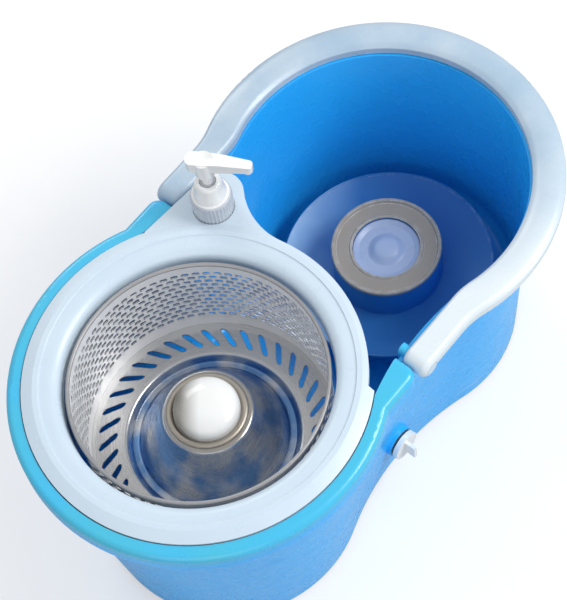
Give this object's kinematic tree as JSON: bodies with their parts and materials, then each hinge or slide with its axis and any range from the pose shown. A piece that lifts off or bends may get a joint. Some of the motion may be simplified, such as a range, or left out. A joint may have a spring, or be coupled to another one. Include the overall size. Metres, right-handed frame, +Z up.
{
  "type": "spin mop bucket",
  "caption": "Two-lobed blue plastic pail with a spinning perforated steel drainer basket, a wash turntable, a folding carry handle, a soap pump and a drain plug.",
  "frame": {"origin": "on the floor below the middle of the pail, at the centre of the bounding box's bottom face", "axes": "+X from the basket lobe to the wash tub, +Y to the soap pump's side, +Z up"},
  "size_m": [0.487, 0.277, 0.2852],
  "materials": {
    "blue_plastic": "glossy moulded",
    "white_plastic": "satin moulded",
    "white_gloss": "glossy moulded",
    "grey_plastic": "matte moulded",
    "warm_grey_plastic": "matte moulded",
    "lavender_plastic": "satin moulded",
    "wash_blue_plastic": "glossy moulded",
    "clear_plastic": "translucent moulded",
    "nylon": "natural nylon",
    "stainless": "bright pressed sheet",
    "screw_steel": "plain steel",
    "bronze": "sintered bush",
    "rubber_grey": "soft rubber"
  },
  "bodies": {
    "bucket": {"bucket_body": "blue_plastic", "ring_cover": "white_plastic", "basket_spindle": "screw_steel", "spindle_clip": "screw_steel", "spindle_pillar": "grey_plastic", "thrust_washer": "nylon", "pillar_screws": "screw_steel", "wash_spindle": "screw_steel", "wash_clip": "screw_steel", "wash_pillar": "blue_plastic", "wash_thrust_washer": "nylon", "handle_pins": "white_plastic", "soap_bottle": "clear_plastic", "bottle_gasket": "rubber_grey", "pump_collar": "white_gloss", "pump_cylinder": "clear_plastic", "pump_spring": "screw_steel", "check_ball": "screw_steel", "dip_tube": "clear_plastic", "rubber_feet": "rubber_grey"},
    "basket": {"basket_drum": "stainless", "spin_basket": "stainless", "hub_cap": "white_gloss", "hub_washer": "stainless", "lower_hub": "grey_plastic", "hub_screws": "screw_steel", "hub_bush": "bronze"},
    "turntable": {"wash_plate": "warm_grey_plastic", "wash_dish": "wash_blue_plastic", "dish_screws": "screw_steel", "wash_cap": "lavender_plastic", "wash_bush": "bronze"},
    "handle": {"handle_bail": "white_plastic"},
    "stem": {"pump_stem": "white_gloss"},
    "head": {"pump_head": "white_gloss"},
    "plug": {"drain_plug": "white_gloss", "drain_seal": "rubber_grey"}
  },
  "joints": [
    {"name": "basket_spin", "type": "hinge", "parent": "bucket", "child": "basket", "pos_m": [-0.105, 0, 0.12], "axis": [0, 0, 1], "continuous": true},
    {"name": "turntable_spin", "type": "hinge", "parent": "bucket", "child": "turntable", "pos_m": [0.105, 0, 0.1], "axis": [0, 0, 1], "continuous": true},
    {"name": "handle_swing", "type": "hinge", "parent": "bucket", "child": "handle", "pos_m": [0.003, 0, 0.209], "axis": [0, -1, 0], "range_deg": [0, 90]},
    {"name": "pump_press", "type": "slide", "parent": "bucket", "child": "stem", "axis": [0, 0, -1], "range_m": [0, 0.012], "stiffness_N_per_m": 150, "springref_m": -0.01, "deforming": ["pump_spring"]},
    {"name": "nozzle_swivel", "type": "hinge", "parent": "stem", "child": "head", "pos_m": [0.0094, 0.08065, 0.26], "axis": [0, 0, 1], "range_deg": [-75, 75]},
    {"name": "drain_pull", "type": "slide", "parent": "bucket", "child": "plug", "axis": [0, -1, 0], "range_m": [0, 0.03]}
  ]
}
